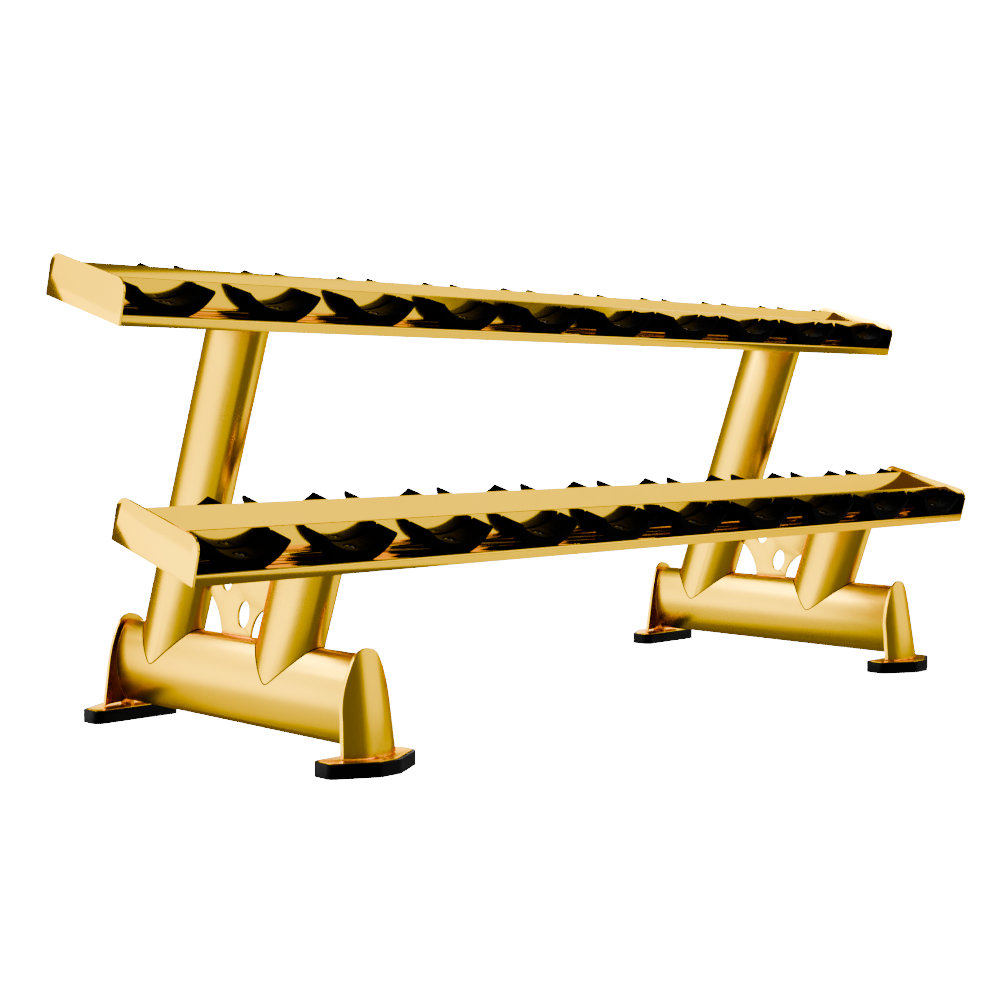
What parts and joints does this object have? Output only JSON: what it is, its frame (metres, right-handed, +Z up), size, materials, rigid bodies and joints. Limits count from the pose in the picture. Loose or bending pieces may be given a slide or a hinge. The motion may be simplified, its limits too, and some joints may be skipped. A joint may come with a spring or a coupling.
{
  "type": "dumbbell rack",
  "caption": "Two-tier steel dumbbell rack: tilted shelves of bent sheet with moulded saddles for pairs of dumbbells, carried by two A-shaped oval-tube frames on rubber feet.",
  "frame": {"origin": "middle of the footprint, on the floor", "axes": "+X along the rack, +Y to its back, +Z up; the shelves slope down towards -Y"},
  "size_m": [2.3, 0.871, 0.8942],
  "materials": {
    "frame_paint": "glossy gold powder coat",
    "shelf_paint": "glossy gold powder coat",
    "saddle": "satin black moulded plastic",
    "foot_rubber": "satin black rubber",
    "screws": "black oxide",
    "nuts_and_bolts": "zinc plated"
  },
  "bodies": {
    "root": {"left_foot_tube": "frame_paint", "right_foot_tube": "frame_paint", "left_tube_end_caps": "frame_paint", "right_tube_end_caps": "frame_paint", "left_front_post": "frame_paint", "left_rear_post": "frame_paint", "right_front_post": "frame_paint", "right_rear_post": "frame_paint", "left_gusset": "frame_paint", "right_gusset": "frame_paint", "left_front_foot_shell": "frame_paint", "left_rear_foot_shell": "frame_paint", "right_front_foot_shell": "frame_paint", "right_rear_foot_shell": "frame_paint", "left_foot_webs": "frame_paint", "right_foot_webs": "frame_paint", "left_front_foot_plate": "frame_paint", "left_rear_foot_plate": "frame_paint", "right_front_foot_plate": "frame_paint", "right_rear_foot_plate": "frame_paint", "left_front_foot_pad": "foot_rubber", "left_rear_foot_pad": "foot_rubber", "right_front_foot_pad": "foot_rubber", "right_rear_foot_pad": "foot_rubber", "upper_left_mount_plate": "shelf_paint", "upper_right_mount_plate": "shelf_paint", "lower_left_mount_plate": "shelf_paint", "lower_right_mount_plate": "shelf_paint", "upper_front_rail": "shelf_paint", "upper_rear_rail": "shelf_paint", "lower_front_rail": "shelf_paint", "lower_rear_rail": "shelf_paint", "upper_left_end_plate": "shelf_paint", "upper_right_end_plate": "shelf_paint", "lower_left_end_plate": "shelf_paint", "lower_right_end_plate": "shelf_paint", "upper_saddle_pair_01": "saddle", "upper_saddle_pair_02": "saddle", "upper_saddle_pair_03": "saddle", "upper_saddle_pair_04": "saddle", "upper_saddle_pair_05": "saddle", "upper_saddle_pair_06": "saddle", "upper_saddle_pair_07": "saddle", "upper_saddle_pair_08": "saddle", "upper_saddle_pair_09": "saddle", "upper_saddle_pair_10": "saddle", "lower_saddle_pair_01": "saddle", "lower_saddle_pair_02": "saddle", "lower_saddle_pair_03": "saddle", "lower_saddle_pair_04": "saddle", "lower_saddle_pair_05": "saddle", "lower_saddle_pair_06": "saddle", "lower_saddle_pair_07": "saddle", "lower_saddle_pair_08": "saddle", "lower_saddle_pair_09": "saddle", "lower_saddle_pair_10": "saddle", "saddle_screws": "screws", "saddle_nuts": "nuts_and_bolts", "shelf_bolts": "nuts_and_bolts"}
  },
  "joints": []
}
